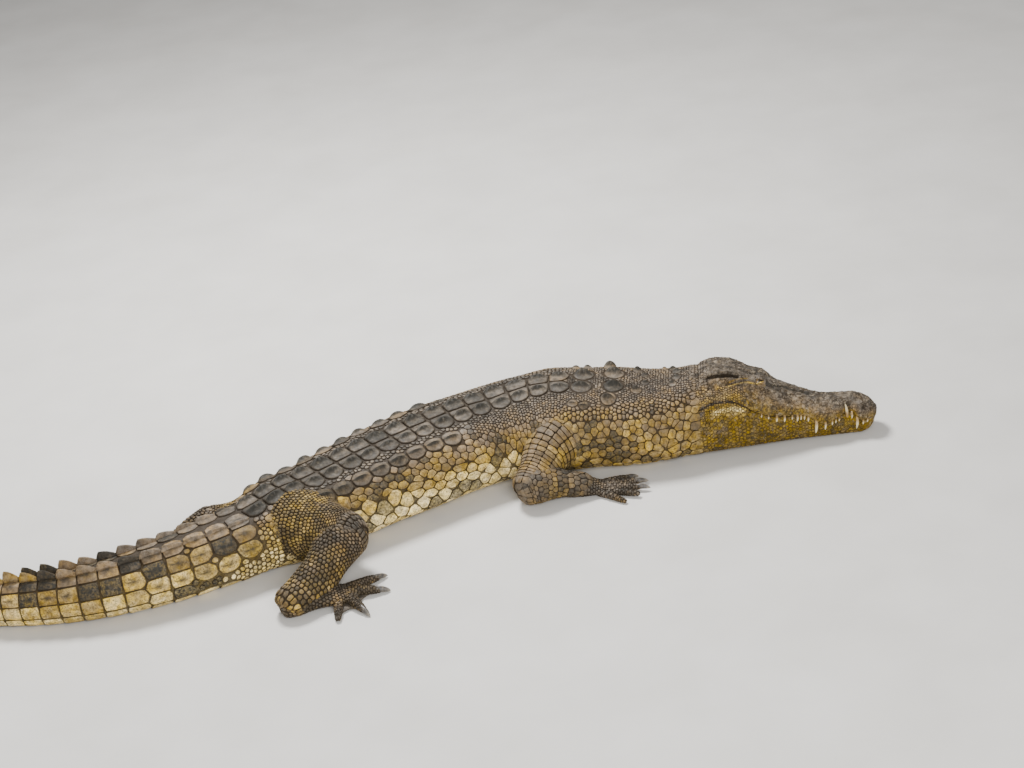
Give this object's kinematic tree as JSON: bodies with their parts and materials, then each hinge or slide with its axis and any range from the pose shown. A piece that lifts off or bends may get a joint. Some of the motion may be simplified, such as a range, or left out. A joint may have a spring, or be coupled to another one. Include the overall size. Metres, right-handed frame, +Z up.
{
  "type": "nile crocodile",
  "caption": "Life-size Nile crocodile resting on its belly with the mouth shut, its body in a gentle S curve and the tail trailing.",
  "frame": {"origin": "centre of the animal's bounding box at floor level", "axes": "+X towards the head, +Y to the animal's left, +Z up"},
  "size_m": [3.4288, 1.1248, 0.2529],
  "materials": {
    "head_skin": "rough, fine grained",
    "jaw_skin": "rough, fine grained",
    "neck_skin": "rough, scaly",
    "trunk_skin": "rough, scaly",
    "tail_skin": "rough, scaly",
    "leg_skin": "rough, scaly",
    "claw": "dull horn",
    "eye": "wet gloss"
  },
  "bodies": {
    "root": {"claw_left_1": "claw", "claw_left_2": "claw", "claw_left_3": "claw", "claw_right_1": "claw", "claw_right_2": "claw", "claw_right_3": "claw", "eye_left": "eye", "eye_right": "eye", "foot_left": "leg_skin", "foot_right": "leg_skin", "forearm_left": "leg_skin", "forearm_right": "leg_skin", "hand_left": "leg_skin", "hand_right": "leg_skin", "head": "head_skin", "hind_claw_left_1": "claw", "hind_claw_left_2": "claw", "hind_claw_left_3": "claw", "hind_claw_right_1": "claw", "hind_claw_right_2": "claw", "hind_claw_right_3": "claw", "jaw": "jaw_skin", "neck": "neck_skin", "shank_left": "leg_skin", "shank_right": "leg_skin", "tail_base": "tail_skin", "tail_end": "tail_skin", "tail_middle": "tail_skin", "thigh_left": "leg_skin", "thigh_right": "leg_skin", "trunk": "trunk_skin", "upper_arm_left": "leg_skin", "upper_arm_right": "leg_skin"}
  },
  "joints": []
}
